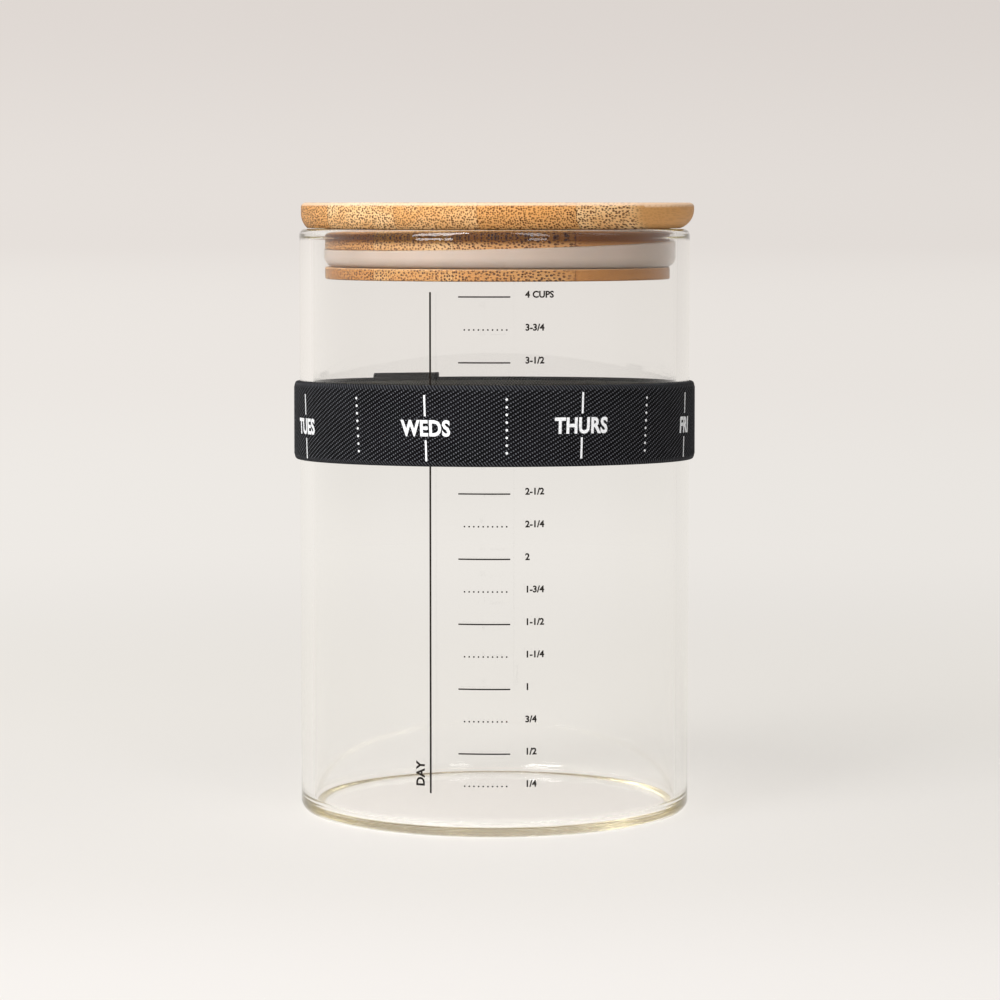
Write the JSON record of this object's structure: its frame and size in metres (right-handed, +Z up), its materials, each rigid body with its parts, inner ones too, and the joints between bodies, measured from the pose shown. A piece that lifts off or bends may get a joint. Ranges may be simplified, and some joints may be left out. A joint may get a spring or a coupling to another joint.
{
  "type": "sourdough starter jar",
  "caption": "Straight glass starter jar with a printed volume scale, a laminated bamboo plug lid with a silicone seal, and an elastic day band that slides and turns on the glass.",
  "frame": {"origin": "centre of the jar's flat base, on the surface that it stands on", "axes": "+Z up along the jar's axis, out of its mouth; the printed scale faces -Y, and +X is to the right of it"},
  "size_m": [0.1056, 0.106, 0.16],
  "materials": {
    "clear_glass": "polished",
    "bamboo": "satin",
    "silicone": "satin",
    "band_backing": "woven",
    "rubber_thread": "matte",
    "band_face": "twill woven",
    "seam_thread": "spun thread"
  },
  "bodies": {
    "jar": {"jar_glass": "clear_glass"},
    "lid": {"lid_top_ply": "bamboo", "lid_middle_ply": "bamboo", "lid_bottom_ply": "bamboo", "lid_seal": "silicone"},
    "band_core": {"band_backing": "band_backing", "band_rubber_threads": "rubber_thread"},
    "band": {"band_face": "band_face", "band_seam_stitches": "seam_thread"}
  },
  "joints": [
    {"name": "lid_lift", "type": "slide", "parent": "jar", "child": "lid", "axis": [0, 0, 1], "range_m": [0, 0.06]},
    {"name": "band_slide", "type": "slide", "parent": "jar", "child": "band_core", "axis": [0, 0, 1], "range_m": [-0.088, 0.036]},
    {"name": "band_turn", "type": "hinge", "parent": "band_core", "child": "band", "pos_m": [0, 0, 0.10305], "axis": [0, 0.0244, 0.9997], "continuous": true}
  ]
}
